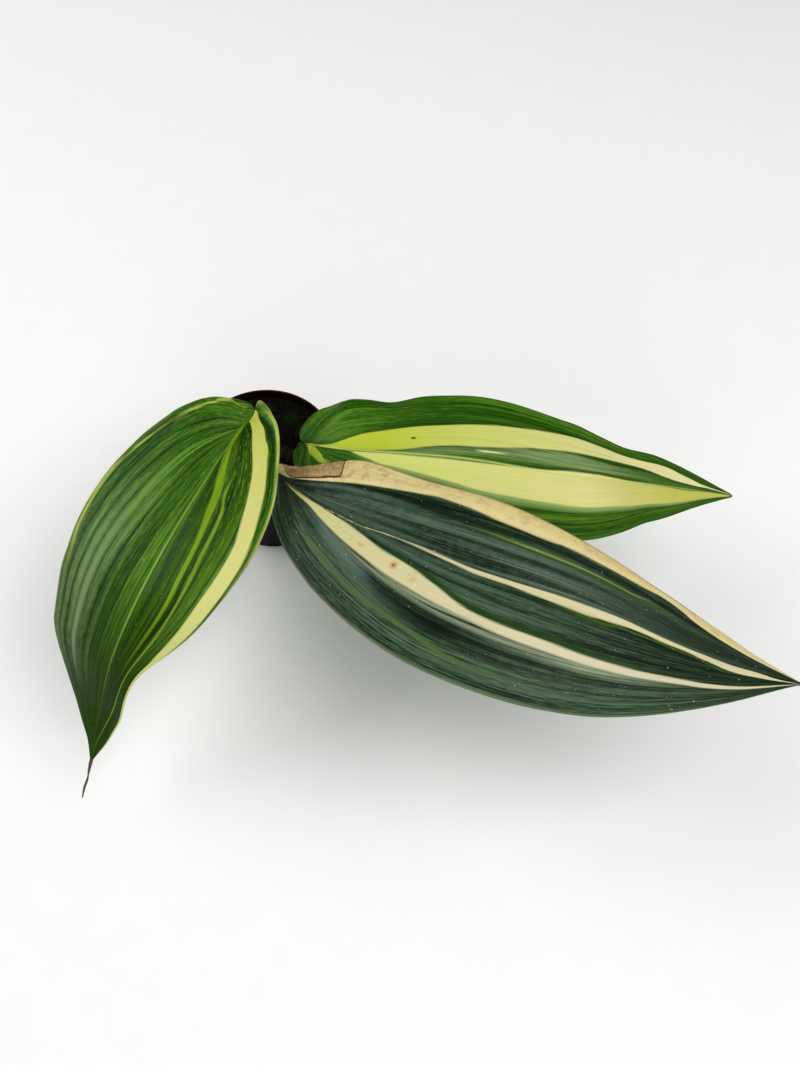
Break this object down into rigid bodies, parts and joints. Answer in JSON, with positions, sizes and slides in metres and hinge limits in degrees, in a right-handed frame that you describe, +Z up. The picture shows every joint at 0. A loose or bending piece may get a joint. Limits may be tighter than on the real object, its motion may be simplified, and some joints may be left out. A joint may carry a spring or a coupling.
{
  "type": "potted cast iron plant",
  "caption": "Young variegated cast iron plant: broad pleated striped leaves arch over the rim of a small thin round nursery pot that is filled with soil.",
  "frame": {"origin": "middle of the pot's flat foot, on the surface that the pot stands on", "axes": "+Z up out of the pot, +X towards the long right-hand leaves, -Y towards the viewer of the picture"},
  "size_m": [0.4418, 0.2783, 0.1589],
  "materials": {
    "pot_plastic": "thin moulded dark brown-black plastic, slightly glossy, redder where light shines through the rim",
    "potting_soil": "dark crumbly potting mix of peat and bark, with a little moss",
    "stem_skin": "dry brown papery sheaths over a pale knobbly creeping stem",
    "leaf_green": "leathery mid-green leaf with cream and yellow-green stripes, satin",
    "leaf_yellow_green": "leathery green leaf with broad yellow stripes, satin",
    "leaf_blue_green": "leathery dark blue-green leaf with cream stripes, satin"
  },
  "bodies": {
    "root": {"pot": "pot_plastic", "soil": "potting_soil", "rhizome": "stem_skin", "leaf_left": "leaf_green", "leaf_right": "leaf_yellow_green", "leaf_front": "leaf_blue_green"}
  },
  "joints": []
}
